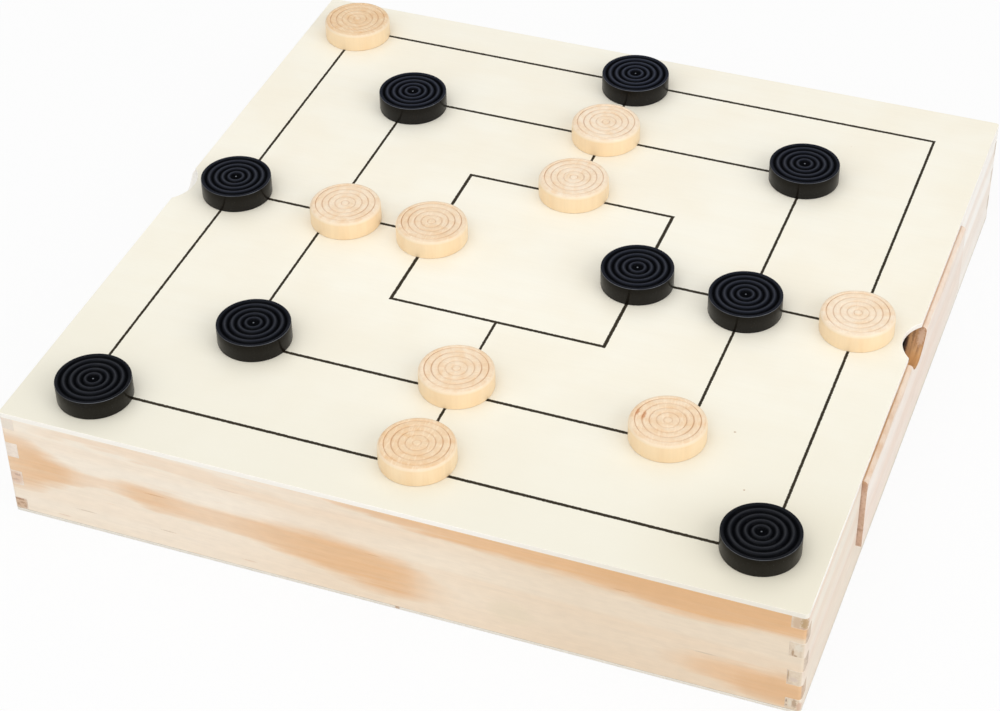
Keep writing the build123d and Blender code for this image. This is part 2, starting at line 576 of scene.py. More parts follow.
class Effects:
    """The shared effects, each made the first time that a finish asks for it.

    Attributes:
        WANDER: How far a band of late wood strays, slowly and finely.
        TEETH: How far the grain draws the rim of a printed line.
        FEATHER: Over how much of that rim the ink fades, to either side.
    """

    WANDER: ClassVar[Limits] = (8 * MM, 2 * MM)
    TEETH: ClassVar[float] = 0.45 * MM
    FEATHER: ClassVar[float] = 0.1 * MM

    _made: ClassVar[dict[str, Tree]] = {}

    @classmethod
    def get(cls, make: Callable[[], Tree]) -> Tree:
        """Gives a shared effect, and makes it if no finish has used it yet."""
        if make.__name__ not in cls._made:
            cls._made[make.__name__] = make()
        return cls._made[make.__name__]

    @staticmethod
    def timber() -> Tree:
        """Builds the figure of sawn wood: growth rings, fibres and short dark flecks."""
        names = ("Ring", "Fibre", "Fleck", "Height")
        g = SharedEffect("Timber figure", names, Timber=None, Ring_Width=0.005, Sway=0.004)
        timber = g.given["Timber"]
        drift = g.times(g.swing(g.noise(timber, (2.2, 30, 30))), g.given["Sway"])
        radius = g.length(g.vector("MULTIPLY", timber, (0, 1, 1)))
        radius = g.math("MULTIPLY_ADD", drift, 2, radius)
        phase = g.math("FRACT", g.math("DIVIDE", radius, g.given["Ring Width"]))
        late = g.times(g.ramp(phase, (0.2, 0.82)), g.ramp(phase, (0.84, 1), (1, 0)))
        fibre = g.noise(timber, (22, 1300, 1300), 3)
        fleck = g.ramp(g.noise(timber, (90, 1500, 1500), 1), (0.72, 0.8))
        height = g.math("MULTIPLY_ADD", late, 0.5, fibre)
        return g.answer(Ring=late, Fibre=fibre, Fleck=fleck, Height=height)

    @staticmethod
    def band() -> Tree:
        """Builds the mask of one band of late wood from its course along a board."""
        sizes = {"Height": 0, "Centre": 0, "Half_Breadth": 0.01, "Strength": 1}
        g = SharedEffect("Band of late wood", ("Mask",), Timber=None, **sizes)
        slow = g.noise(g.given["Timber"], (34, 200, 200), 3)
        fine = g.noise(g.given["Timber"], (18, 900, 900), 2)
        wobble = g.times(g.swing(slow), Effects.WANDER[0])
        wobble = g.math("MULTIPLY_ADD", g.swing(fine), Effects.WANDER[1], wobble)
        away = g.math("SUBTRACT", g.math("ADD", g.given["Height"], wobble), g.given["Centre"])
        share = g.math("DIVIDE", g.math("ABSOLUTE", away), g.given["Half Breadth"])
        streaky = g.ramp(fine, WIDELY, (0.86, 1.04), False)
        inside = g.times(g.ramp(share, (1.2, 0.4)), streaky)
        return g.answer(Mask=g.times(inside, g.given["Strength"]))

    @staticmethod
    def stain() -> Tree:
        """Builds the mask of one stain, tick or blemish with an uneven rim."""
        vectors = dict.fromkeys(("Place", "Centre", "Size"))
        g = SharedEffect("Stain", ("Mask",), **vectors, Strength=1, Raggedness=0.5)
        away = g.vector("SUBTRACT", g.given["Place"], g.given["Centre"])
        away = g.vector("DIVIDE", away, g.given["Size"])
        rough = g.times(g.swing(g.noise(g.given["Place"], 1400, 3)), g.given["Raggedness"])
        reach = g.math("MULTIPLY_ADD", rough, 3, g.length(away))
        return g.answer(Mask=g.times(g.ramp(reach, (1.2, 0.5)), g.given["Strength"]))

    @staticmethod
    def arris_wear_and_painted_light() -> Tree:
        """Builds a mask of rounded edges, broken up along them, for sanded tone and painted
        light.
        """
        g = SharedEffect("Edge wear", ("Mask",), Place=None, Arris=0, Amount=1)
        uneven = g.ramp(g.noise(g.given["Place"], 160, 3), (0.3, 0.62), (0.45, 1))
        return g.answer(Mask=g.times(g.times(g.given["Arris"], uneven), g.given["Amount"]))

    @staticmethod
    def specks() -> Tree:
        """Builds sparse specks of dust or pores, and a slow cloud for tone."""
        sizes = {"Spacing": 4 * MM, "Share": 0.1, "Size": 0.15}
        g = SharedEffect("Specks and cloud", ("Speck", "Cloud"), Place=None, **sizes)
        scale = g.math("DIVIDE", 1, g.given["Spacing"])
        cells = g.put("ShaderNodeTexVoronoi", {"Vector": g.given["Place"], "Scale": scale})
        chosen = g.math("LESS_THAN", g.split(cells["Color"])[0], g.given["Share"])
        near = g.math("LESS_THAN", cells["Distance"], g.given["Size"])
        cloud = g.noise(g.given["Place"], 22, 3)
        return g.answer(Speck=g.times(chosen, near), Cloud=cloud)

    @staticmethod
    def diagram() -> Tree:
        """Builds the printed diagram: three squares joined at the middles of their sides."""
        squares = {"Outer": 0.128, "Middle": 0.085, "Inner": 0.043}
        lines = {"Line": 1.2 * MM, "Thinner": 0.1 * MM, "Skew": 0, "Level": 0.045}
        g = SharedEffect("Morris diagram", ("Mask", "Density"), Place=None, **squares, **lines)
        x, y, z = g.split(g.given["Place"])
        x, y = (
            g.math("ABSOLUTE", g.math("MULTIPLY_ADD", other, g.given["Skew"], own))
            for own, other in ((x, y), (y, x))
        )
        far = g.math("MAXIMUM", x, y)
        near = g.math("MINIMUM", x, y)
        off = [g.math("ABSOLUTE", g.math("SUBTRACT", far, g.given[name])) for name in squares]
        level = g.math("GREATER_THAN", y, x)
        sides = g.math("MINIMUM", off[0], off[1])
        sides = g.math("MULTIPLY_ADD", g.rest(level), g.given["Thinner"], sides)
        sides = g.math("MINIMUM", sides, off[2])
        near = g.math("MULTIPLY_ADD", level, g.given["Thinner"], near)
        within = g.math("SUBTRACT", far, g.given["Outer"])
        beyond = g.math("SUBTRACT", g.given["Inner"], far)
        spokes = g.math("MAXIMUM", near, g.math("MAXIMUM", within, beyond))
        away = g.math("MINIMUM", sides, spokes)
        teeth = g.swing(g.noise(g.given["Place"], 1500, 1))
        away = g.math("MULTIPLY_ADD", teeth, Effects.TEETH, away)
        edge = g.math("SUBTRACT", away, g.times(g.given["Line"], 0.5))
        ink = g.ramp(edge, (Effects.FEATHER, -Effects.FEATHER))
        top = g.math("GREATER_THAN", z, g.given["Level"])
        density = g.ramp(g.noise(g.given["Place"], 700), MOSTLY)
        return g.answer(Mask=g.times(ink, top), Density=density)


# --- Finishes --------------------------------------------------------------------------------


@dataclass(frozen=True)
class Band:
    """A band of late wood that flows along a board.

    Attributes:
        knots: Its course: place along the board, height, half breadth (all in mm), strength.
    """

    knots: tuple[tuple[float, float, float, float], ...]

    HEIGHT_RANGE: ClassVar[float] = 50.0
    BREADTH_RANGE: ClassVar[float] = 25.0

    def mask(self, g: Graph, timber: Socket, along: Socket, height: Socket) -> Socket:
        """Draws the band.

        Args:
            g: The material's graph.
            timber: Where each point lay in the tree.
            along: Place along the board.
            height: Height on the board.

        Returns:
            How strongly the band shows.
        """
        places, *courses = zip(*self.knots)
        start, end = places[0], places[-1]
        share = g.ramp(along, (start * MM, end * MM), soft=False)
        shares = [(place - start) / (end - start) for place in places]
        centre, half, strength = (
            g.curve(share, [(at, value / full) for at, value in zip(shares, course)])
            for course, full in zip(courses, (self.HEIGHT_RANGE, self.BREADTH_RANGE, 1))
        )
        return g.use(
            Effects.band,
            Timber=timber,
            Height=height,
            Centre=g.times(centre, self.HEIGHT_RANGE * MM),
            Half_Breadth=g.times(half, self.BREADTH_RANGE * MM),
            Strength=strength,
        )["Mask"]


@dataclass(frozen=True)
class Stain:
    """A stain, tick or blemish: its centre and size in mm, its colour and its strength."""

    centre: Triple
    size: Triple
    colour: Colour
    strength: float = 1.0
    raggedness: float = 0.3

    def paint(self, g: Graph, place: Socket, tone: Any) -> Socket:
        """Lays the stain over a colour."""
        mask = g.use(
            Effects.stain,
            Place=place,
            Centre=tuple(c * MM for c in self.centre),
            Size=tuple(s * MM for s in self.size),
            Strength=self.strength,
            Raggedness=self.raggedness,
        )["Mask"]
        return g.blend(mask, tone, self.colour)


def lay(stains: Iterable[Stain], g: Graph, place: Socket, tone: Any) -> Any:
    """Lays stains over a colour, one after another."""
    for stain in stains:
        tone = stain.paint(g, place, tone)
    return tone


def blank(name: str, **constants: Any) -> tuple[Material, Graph, Any]:
    """Starts a material that has only its shader.

    Args:
        name: The material's name.
        **constants: The shader's own values, by socket, with underscores for spaces.

    Returns:
        The material, its graph and its shader.
    """
    material = bpy.data.materials.new(name)
    material.use_nodes = True
    g = Graph(material.node_tree)
    shader = material.node_tree.nodes["Principled BSDF"]
    g.fill(shader.inputs, **constants)
    return material, g, shader


@dataclass(frozen=True)
class Finish:
    """What every finish shares: a name, and a figure that feeds a shader."""

    name: str

    CONSTANTS: ClassVar[dict[str, Any]] = {"Specular_IOR_Level": 0.3}

    def paint(self, g: Graph) -> dict[str, Socket]:
        """Draws the figure and says which of the shader's sockets it feeds."""
        raise NotImplementedError

    def material(self) -> Material:
        """Builds the material."""
        made, g, shader = blank(self.name, **self.CONSTANTS)
        g.fill(shader.inputs, **self.paint(g))
        return made


@dataclass(frozen=True)
class PineFinish(Finish):
    """Sanded pine: pale wood with orange late wood, fibres, flecks and darker end grain."""

    along: Axis = Axis.X
    pale: Colour = shade(245, 230, 209)
    blush: Colour = shade(243, 222, 199)
    streak: Colour = shade(234, 189, 142)
    end_pale: Colour = shade(230, 221, 209)
    end_dark: Colour = shade(214, 200, 184)
    edge: Colour = shade(243, 228, 210)
    notch_dark: Colour = shade(192, 148, 118)
    notch_pale: Colour = shade(226, 182, 140)
    ring_width: float = 5.5 * MM
    sway: float = 5 * MM
    contrast: float = 0.5
    bands: tuple[Band, ...] = ()
    # Painted light: broad lighter and darker patches laid on the ground tone
    painted_light: tuple[Stain, ...] = ()
    stains: tuple[Stain, ...] = ()

    def paint(self, g: Graph) -> dict[str, Socket]:
        """Draws the figure, the bands, the painted light and the stains."""
        timber, figure = g.grain(self.ring_width, self.sway)
        place = g.place()
        axes = g.split(place)
        late = g.times(figure["Ring"], self.contrast)
        for band in self.bands:
            mask = band.mask(g, timber, axes[self.along.value], axes[Axis.Z.value])
            late = g.math("MAXIMUM", late, mask)
        warm = g.ramp(g.noise(timber, (7, 45, 45)), (0.4, 0.65), (0, 0.8))
        # Painted light laid on the ground tone
        ground = lay(self.painted_light, g, place, g.blend(warm, self.pale, self.blush))
        tone = g.blend(late, ground, self.streak)
        tone = g.vary(tone, figure["Fibre"], WIDELY, (0.972, 1.018))
        tone = g.vary(tone, g.noise(timber, (160, 420, 420), 3), MOSTLY, (0.966, 1.02))
        tone = g.blend(g.times(figure["Fleck"], 0.25), tone, self.streak)
        pores = g.ramp(g.noise(place, 900), (0.4, 0.7))
        dark = g.math("MULTIPLY_ADD", pores, 0.6, g.times(figure["Ring"], 0.4))
        end_tone = g.blend(dark, self.end_pale, self.end_dark)
        tone = g.blend(g.ramp(g.number("ends"), (0.6, 0.95)), tone, end_tone)
        mottle = g.ramp(g.noise(place, (900, 60, 90), 3), (0.35, 0.65))
        scoop = g.blend(mottle, self.notch_pale, self.notch_dark)
        tone = lay(self.stains, g, place, g.blend(g.number("notch"), tone, scoop))
        return {
            "Base_Color": g.wear(place, 0.5, tone, self.edge),
            "Roughness": g.ramp(figure["Fibre"], (0.2, 0.8), (0.49, 0.61), False),
            "Normal": g.bump(figure["Height"], 0.35, 0.06 * MM),
        }


@dataclass(frozen=True)
class PlywoodFinish(Finish):
    """Thin plywood: a pale, even face veneer, and plies that show at the edges."""

    bottom: float
    thickness: float
    face: Colour = shade(238, 229, 212)
    figure: Colour = shade(229, 213, 187)
    ply_light: Colour = shade(247, 243, 234)
    ply_dark: Colour = shade(232, 226, 214)
    # Painted shadow: darker grey on the rounded edges, standing in for the shadow at the foot
    rim: Colour = shade(176, 170, 160)
    core: Limits = (0.52, 0.17)
    stains: tuple[Stain, ...] = ()

    def paint(self, g: Graph) -> dict[str, Socket]:
        """Draws the veneer, the plies and a darker rim on the rounded edges, a painted shadow."""
        place = g.place()
        _, figure = g.grain(9 * MM, 14 * MM)
        tone = g.blend(g.times(figure["Ring"], 0.45), self.face, self.figure)
        tone = g.vary(tone, figure["Fibre"], WIDELY, (0.96, 1.02))
        layer = g.math("SUBTRACT", g.split(place)[2], self.bottom)
        layer = g.math("DIVIDE", layer, self.thickness)
        wave = g.math("MULTIPLY_ADD", g.noise(place, 60), 0.12, layer)
        core = g.math("COMPARE", wave, *self.core)
        plies = g.blend(core, self.ply_light, self.ply_dark)
        plies = g.vary(plies, g.noise(place, 800), MOSTLY, (0.95, 1.03), True)
        tone = g.blend(g.ramp(g.number("ends"), (0.5, 0.9)), tone, plies)
        # Painted shadow along the rounded edges
        tone = g.wear(place, 0.75, tone, self.rim)
        return {
            "Base_Color": lay(self.stains, g, place, tone),
            "Roughness": g.ramp(figure["Fibre"], (0.2, 0.8), (0.5, 0.64), False),
            "Normal": g.bump(figure["Height"], 0.3, 0.05 * MM),
        }


@dataclass(frozen=True)
class PrintedBoardFinish(Finish):
    """Cream-coated board with the charcoal diagram printed on its top."""

    name: str = "printed_board"
    cream: Colour = shade(244, 240, 226)
    warm: Colour = shade(242, 235, 217)
    # Painted shade towards the front and the right of the board
    shaded_margin: Colour = shade(231, 227, 211)
    edge: Colour = shade(250, 246, 238)
    underside: Colour = shade(226, 210, 184)
    ink: Colour = shade(36, 28, 14)
    thin_ink: Colour = shade(44, 36, 22)
    squares: Triple = (127.9 * MM, 85.3 * MM, 42.6 * MM)
    line: float = 1.38 * MM
    thinner: float = 0.14 * MM
    ink_cover: float = 0.985
    ink_depth: float = 0.3 * MM
    shift: Triple = (0.25 * MM, 0.8 * MM, 0)
    skew: float = 0.0045
    # The painted shade deepens with distance from this point
    lit_centre: Triple = (-20 * MM, 110 * MM, 0)
    top: float = 47.5 * MM
    stains: tuple[Stain, ...] = ()
    edge_painted_shade: tuple[Stain, ...] = ()

    CONSTANTS: ClassVar[dict[str, Any]] = {"Specular_IOR_Level": 0.06, "Coat_Roughness": 0.3}

    def paint(self, g: Graph) -> dict[str, Socket]:
        """Draws the cream coat with its painted shade, the printed lines, the edge and the
        underside.
        """
        place = g.place()
        _, figure = g.grain(12 * MM, 20 * MM)
        cloud = g.use(Effects.specks, Place=place, Spacing=16 * MM, Share=0.07, Size=0.018)
        tone = g.blend(g.ramp(cloud["Cloud"], (0.35, 0.7), (0, 0.8)), self.cream, self.warm)
        tone = g.blend(g.times(figure["Ring"], 0.16), tone, self.warm)
        tone = g.vary(tone, figure["Fibre"], WIDELY, (0.988, 1.008))
        tone = g.blend(g.times(cloud["Speck"], 0.5), tone, self.underside)
        # Painted shade: darker away from the lit centre
        away = g.vector("SUBTRACT", place, self.lit_centre)
        away = g.length(g.vector("MULTIPLY", away, (0.8, 1, 0)))
        away = g.math("MULTIPLY_ADD", cloud["Cloud"], 0.04, away)
        tone = g.blend(g.ramp(away, (0.14, 0.34)), tone, self.shaded_margin)
        tone = lay(self.stains, g, place, tone)
        printed = g.use(
            Effects.diagram,
            Place=g.vector("SUBTRACT", place, self.shift),
            **dict(zip(("Outer", "Middle", "Inner"), self.squares)),
            Line=self.line,
            Thinner=self.thinner,
            Skew=self.skew,
            Level=self.top - self.ink_depth,
        )
        ink = g.blend(printed["Density"], self.ink, self.thin_ink)
        tone = g.blend(g.times(printed["Mask"], self.ink_cover), tone, ink)
        up = g.split(g.put("ShaderNodeTexCoord")["Normal"])[2]
        # Painted shade on the right part of the edge
        side = lay(self.edge_painted_shade, g, place, self.edge)
        tone = g.blend(g.ramp(up, (0.97, 0.8)), tone, side)
        sheen = g.ramp(cloud["Cloud"], MOSTLY, (0.36, 0.44), False)
        coat = g.ramp(cloud["Cloud"], MOSTLY, (0.3, 0.4))
        return {
            "Base_Color": g.blend(g.ramp(up, (-0.6, -0.95)), tone, self.underside),
            "Roughness": g.math("MULTIPLY_ADD", printed["Mask"], 0.1, sheen),
            "Coat_Weight": g.times(g.rest(printed["Mask"]), coat),
            "Normal": g.bump(figure["Height"], 0.15, 0.03 * MM),
        }


@dataclass(frozen=True)
class BeechFinish(Finish):
    """Turned natural wood under thin clear varnish, dark groove lines, a painted rim highlight.
    """

    name: str = "natural_beech"
    top: Colour = shade(233, 205, 168)
    band: Colour = shade(226, 185, 137)
    pale_top: Colour = shade(241, 224, 201)
    pale_band: Colour = shade(234, 203, 165)
    side: Colour = shade(253, 227, 188)
    side_dark: Colour = shade(246, 213, 168)
    line: Colour = shade(184, 126, 78)
    # Colour of the ray flecks, and of the painted highlight on the rim
    rays_and_highlight: Colour = shade(248, 231, 206)
    stains: tuple[Stain, ...] = ()

    CONSTANTS: ClassVar[dict[str, Any]] = {
        "Specular_IOR_Level": 0.35,
        "Coat_Roughness": 0.25,
        "Coat_IOR": 1.45,
    }

    def paint(self, g: Graph) -> dict[str, Socket]:
        """Draws the top, the side, the painted rim highlight and the groove lines, partly painted
        shade.
        """
        timber, figure = g.grain(4.2 * MM, 3 * MM)
        place = g.place()
        cloud = g.noise(timber, (20, 140, 140), 3)
        patch = g.ramp(g.noise(timber, (60, 520, 260), 3), (0.42, 0.66))
        mottle = g.times(figure["Ring"], 0.25)
        mottle = g.math("MULTIPLY_ADD", g.ramp(cloud, (0.4, 0.64)), 0.45, mottle)
        mottle = g.math("MULTIPLY_ADD", patch, 0.2, mottle, clamp=True)
        pale = g.number("pale")
        ground = g.blend(pale, self.top, self.pale_top)
        top = g.blend(mottle, ground, g.blend(pale, self.band, self.pale_band))
        side = g.blend(g.ramp(cloud, (0.4, 0.75), (0, 0.6)), self.side, self.side_dark)
        side = g.vary(side, g.noise(timber, (30, 800, 800)), MOSTLY, (0.98, 1.015))
        pores = g.noise(place, 1600)
        top = g.vary(top, pores, MOSTLY, (0.97, 1.02))
        rays = g.ramp(g.noise(timber, (300, 260, 1100)), (0.5, 0.68), (0, 0.35))
        top = g.blend(rays, top, self.rays_and_highlight)
        tone = g.blend(g.ramp(g.number("ends"), (0.15, 0.9)), side, top)
        # Painted highlight on the rounding of the rim
        tone = g.blend(g.times(g.number("arris"), 0.5), tone, self.rays_and_highlight)
        # Groove lines: their own dark colour, with painted shade making them stronger to the left
        # and right
        across = g.math("ABSOLUTE", g.split(g.triple("turned"))[0])
        side_shade = g.ramp(across, (0.2, 0.9), (0.35, 1))
        turn = g.ramp(g.noise(place, 130, 1), (0.35, 0.65), (0.6, 1))
        groove = g.times(g.number("groove"), g.times(turn, side_shade))
        tone = g.blend(groove, tone, self.line)
        return {
            "Base_Color": lay(self.stains, g, place, tone),
            "Roughness": g.ramp(pores, MOSTLY, (0.42, 0.54), False),
            "Coat_Weight": g.ramp(cloud, MOSTLY, (0.15, 0.26), False),
            "Normal": g.bump(pores, 0.3, 0.04 * MM),
        }


@dataclass(frozen=True)
class LacquerFinish(Finish):
    """Black lacquer on turned wood, with dust, glossy sides and a painted blue reflection on top.
    """

    name: str = "black_lacquer"
    # Painted reflection: the tops blue, and paler on discs that catch more of the room's light
    deep: Colour = shade(13, 16, 25)
    worn_and_painted_light: Colour = shade(34, 40, 57)
    # Black, warmed by a painted reflection of the board in front of the side
    thin: Colour = shade(20, 15, 4)
    # Painted shade for the bottoms of the grooves
    groove_shade: Colour = shade(1, 1, 3)
    dust: Colour = shade(74, 76, 74)
    # Painted highlight for the rounding of the rim and the lathe's point
    rim_highlight: Colour = shade(188, 194, 204)
    side_top: float = 0.56

    CONSTANTS: ClassVar[dict[str, Any]] = {
        "Specular_IOR_Level": 0.05,
        "Specular_Tint": (0.7, 0.85, 1, 1),
        "Coat_Roughness": 0.1,
    }

    def paint(self, g: Graph) -> dict[str, Socket]:
        """Draws lacquer, dust, painted reflection, shade and highlight, and rim and side gloss.
        """
        place = g.place()
        ends, groove = g.number("ends"), g.number("groove")
        # Painted reflection: warm on the side, blue on the top and paler on the discs marked pale
        tone = g.blend(ends, self.thin, g.blend(g.number("pale"), self.deep, self.worn_and_painted_light))
        dust = g.use(Effects.specks, Place=place, Spacing=0.9 * MM, Share=0.16, Size=0.16)
        tone = g.blend(g.times(dust["Speck"], 0.3), tone, self.dust)
        fine = g.ramp(g.noise(place, 1500), (0.5, 0.75), (0, 0.056))
        tone = g.blend(fine, tone, self.dust)
        # Painted shade: the grooves go almost black
        tone = g.blend(groove, tone, self.groove_shade)
        smear = g.noise(place, 240, 3)
        gloss = g.ramp(smear, MOSTLY, (0.36, 0.48), False)
        coat = g.ramp(smear, MOSTLY, (0.3, 0.46), False)
        coat = g.times(coat, g.times(ends, g.rest(groove)))
        height = g.split(g.triple("turned"))[2]
        side = g.times(g.rest(ends), g.ramp(height, (0.25, 0.52), (0.35, 0.16)))
        side = g.times(side, g.math("LESS_THAN", height, self.side_top))
        coat = g.math("MAXIMUM", coat, side)
        return {
            # Painted highlight on the rim's rounding and the lathe's point
            "Base_Color": g.wear(place, 0.5, tone, self.rim_highlight),
            "Roughness": g.math("MULTIPLY_ADD", groove, 0.4, gloss),
            "Coat_Weight": g.math("MAXIMUM", coat, g.times(g.number("arris"), 0.9)),
            "Normal": g.bump(g.noise(place, 700), 0.25, 0.03 * MM),
        }


# --- Marks of the timber ---------------------------------------------------------------------


FRONT = -150  # where the front face lies, in mm

FRONT_BANDS = (
    Band((
        (-150, 25.8, 16, 0.6), (-141, 25.2, 14, 0.85), (-132, 24.5, 9.6, 0.9),
        (-122, 24.3, 5.8, 0.6), (-111, 24.8, 3.4, 0.4), (-102, 24.5, 4.6, 0.6),
        (-92, 23.6, 6.2, 0.8), (-82, 23.4, 5.8, 0.7), (-70, 22.2, 5.2, 0.6),
        (-55, 21.6, 6.4, 0.7), (-40, 20.4, 8.2, 0.85), (-20, 18.2, 10.6, 0.95),
        (0, 15.8, 11.6, 0.95), (12, 14.8, 9.6, 0.55), (22, 13.4, 6.6, 0.18),
        (34, 13, 6, 0),
    )),
    Band((
        (-24, 45, 1.2, 0), (-5, 44.6, 2.6, 0.7), (20, 44.2, 4.2, 0.9),
        (50, 43.6, 6.2, 0.95), (80, 43, 8, 1), (105, 42, 9.4, 1),
        (120, 41.8, 9.6, 1), (135, 42, 8.8, 1), (150, 42.4, 8.2, 1),
    )),
    Band((
        (94, 11, 5, 0), (106, 11.4, 5.6, 0.3), (117, 11.2, 6.8, 0.7),
        (128, 10.8, 8, 0.8), (138, 10.2, 9, 0.85), (150, 9.6, 9.8, 0.9),
    )),
    Band((
        (-140, 42.5, 2, 0), (-118, 43, 2.6, 0.3), (-90, 42, 3.4, 0.3),
        (-62, 40, 4, 0.3), (-40, 37.5, 3.4, 0.22), (-20, 36.5, 3, 0),
    )),
)

CREST_BAND = Band(((-80, 44.4, 2.2, 0.6), (0, 44.6, 1.8, 0.7), (80, 44.8, 1.4, 0.6)))


def on_front(reach: float, rows: Iterable[Sequence[Any]]) -> tuple[Stain, ...]:
    """Sets out stains on the front face.

    Args:
        reach: Their half size across the face.
        rows: For each its X and Z, its half sizes along them, colour, strength, raggedness.

    Returns:
        The stains.
    """
    return tuple(
        Stain((x, FRONT, z), (w, reach, h), colour, strength, ragged)
        for x, z, w, h, colour, strength, ragged in rows
    )


def front_ticks() -> tuple[Stain, ...]:
    """Sets out the resin ticks on the front wall, and the tones at its right end."""
    orange, grey, deep = shade(206, 158, 114), shade(208, 188, 164), shade(216, 168, 118)
    tones = (
        (118, 43, 52, 9, deep, 0.35, 0.1),
        (140, 8, 16, 7, deep, 0.3, 0.1),
        (46, 13, 9, 6, shade(226, 212, 184), 0.35, 0.1),
    )
    ticks = (
        (-89.5, 25.8, 4.8, orange, 0.5),
        (-119, 8.7, 4.5, grey, 0.6),
        (-86, 9.2, 3.5, grey, 0.6),
        (-129, 3.6, 3.2, orange, 0.3),
        (-54, 5, 3.2, orange, 0.3),
        (-5, 23.8, 3, orange, 0.4),
        (-60, 37.2, 5.5, orange, 0.22),
        (86, 37.4, 3.4, orange, 0.5),
        (116, 17.8, 4.6, grey, 0.7),
    )
    marks = ((x, z, w, 0.3, colour, strength, 0.4) for x, z, w, colour, strength in ticks)
    return on_front(10, tones) + on_front(2, marks)


def right_end_stains() -> tuple[Stain, ...]:
    """Sets out the marks on the right wall's fingers, as they show in the front."""
    pale, olive, pink = shade(230, 222, 206), shade(182, 148, 104), shade(208, 172, 146)
    brown, dark = shade(172, 140, 108), shade(112, 76, 52)
    rows = (
        (146.4, 42.9, 1.8, 3.4, shade(206, 178, 148), 0.85, 0.3),
        (149.2, 43, 1.7, 3.4, olive, 0.85, 0.5),
        (148.2, 40.7, 1.6, 0.6, pink, 0.7, 0.4),
        (147.6, 31.5, 1.6, 2, pale, 0.7, 0.4),
        (145.7, 28.6, 0.5, 1.6, brown, 0.8, 0.5),
        (146.7, 27.4, 0.8, 0.5, brown, 0.7, 0.5),
        (144.8, 17.4, 0.3, 3, brown, 0.8, 0.3),
        (146.8, 16, 1.6, 1.2, shade(214, 196, 184), 0.6, 0.4),
        (144.9, 5.2, 0.3, 0.8, dark, 0.7, 0.6),
        (145, 3.2, 0.25, 0.5, dark, 0.6, 0.6),
        (146.2, 4.4, 0.7, 2.2, pale, 0.6, 0.3),
        (147.7, 4.6, 0.9, 2.4, shade(178, 150, 124), 0.8, 0.5),
        (149.4, 3.4, 1, 2.6, pink, 0.7, 0.4),
    )
    return on_front(2, rows)


def left_end_stains() -> tuple[Stain, ...]:
    """Sets out the marks on the left wall's fingers, as they show in the front."""
    brown, dark, peach = shade(212, 182, 154), shade(166, 126, 98), shade(226, 196, 172)
    rows = (
        (-147, 42.8, 2.6, 2.6, shade(232, 224, 208), 0.6, 0.4),
        (-147.4, 17, 3.8, 3.8, peach, 0.9, 0.2),
        (-146.6, 18.4, 1.3, 0.7, shade(190, 160, 142), 0.7, 0.9),
        (-147.6, 15.8, 1.5, 0.6, shade(196, 168, 150), 0.6, 0.9),
        (-147.2, 4.2, 4, 3.6, brown, 0.95, 0.3),
        (-147.8, 6, 2.6, 0.5, dark, 0.8, 0.7),
        (-146.6, 4.4, 1.2, 0.5, dark, 0.6, 0.8),
        (-148.4, 3.2, 0.8, 0.7, dark, 0.5, 0.8),
        (-145.4, 3, 0.7, 0.9, dark, 0.4, 0.8),
    )
    return on_front(2, rows)


def drawer_front_stains(outer: float) -> tuple[Stain, ...]:
    """Sets out marks and a painted notch shadow on the right drawer's front, from its outer face.
    """
    rows = (
        (-2, -78.5, 42.5, (4.5, 2, 3), shade(190, 146, 118), 0.6, 0.5),
        (-1, -78.5, 22, (3, 2, 0.7), shade(176, 134, 106), 0.6, 0.5),
        (-0.5, -54, 45, (3.8, 36, 2.2), shade(208, 163, 119), 0.85, 0.3),
        (-0.5, -20, 45, (3.6, 8, 1.8), shade(222, 184, 144), 0.5, 0.4),
        (-2, 0, 38.2, (5, 4.5, 2), shade(208, 148, 88), 0.65, 0.4),
        (-0.6, 9.5, 42.5, (1.5, 4, 4), shade(216, 184, 158), 0.75, 0.5),
        (-3.4, 9.8, 42, (0.6, 3, 3.5), shade(142, 96, 66), 0.6, 0.6),
        # Painted shadow at the inner edge of the notch, where it opens on the dark inside
        (-5.8, 5, 40, (1, 8, 5), shade(58, 42, 36), 0.9, 0.3),
    )
    return tuple(
        Stain((outer + x, y, z), size, colour, strength, ragged)
        for x, y, z, size, colour, strength, ragged in rows
    )


# --- The box ---------------------------------------------------------------------------------


@dataclass
class BoxSizes:
    """The sizes that the case and the drawers share."""

    width: float = 300 * MM
    depth: float = 300 * MM
    corner_radius: float = 1.5 * MM
    base_thickness: float = 1.5 * MM
    wall_height: float = 44 * MM
    wall: float = 5.5 * MM
    board_thickness: float = 2 * MM
    sill_height: float = 12.5 * MM
    divider: float = 6 * MM
    drawer_width: float = 157 * MM
    side_clearance: float = 0.5 * MM
    arris: float = 0.15 * MM

    def __post_init__(self) -> None:
        """Works out the levels and places that follow from the sizes."""
        self.board_underside = self.base_thickness + self.wall_height
        self.board_top = self.board_underside + self.board_thickness
        self.sill_top = self.base_thickness + self.sill_height
        self.inner_face = self.width / 2 - self.wall
        self.guide_face = self.drawer_width / 2 + self.side_clearance

    def block(self, bottom: float, top: float) -> Solid:
        """Makes a slab with the outline of the case."""
        outline = rounded_rectangle(self.width, self.depth, self.corner_radius)
        return prism(outline, Axis.Z, (bottom, top))


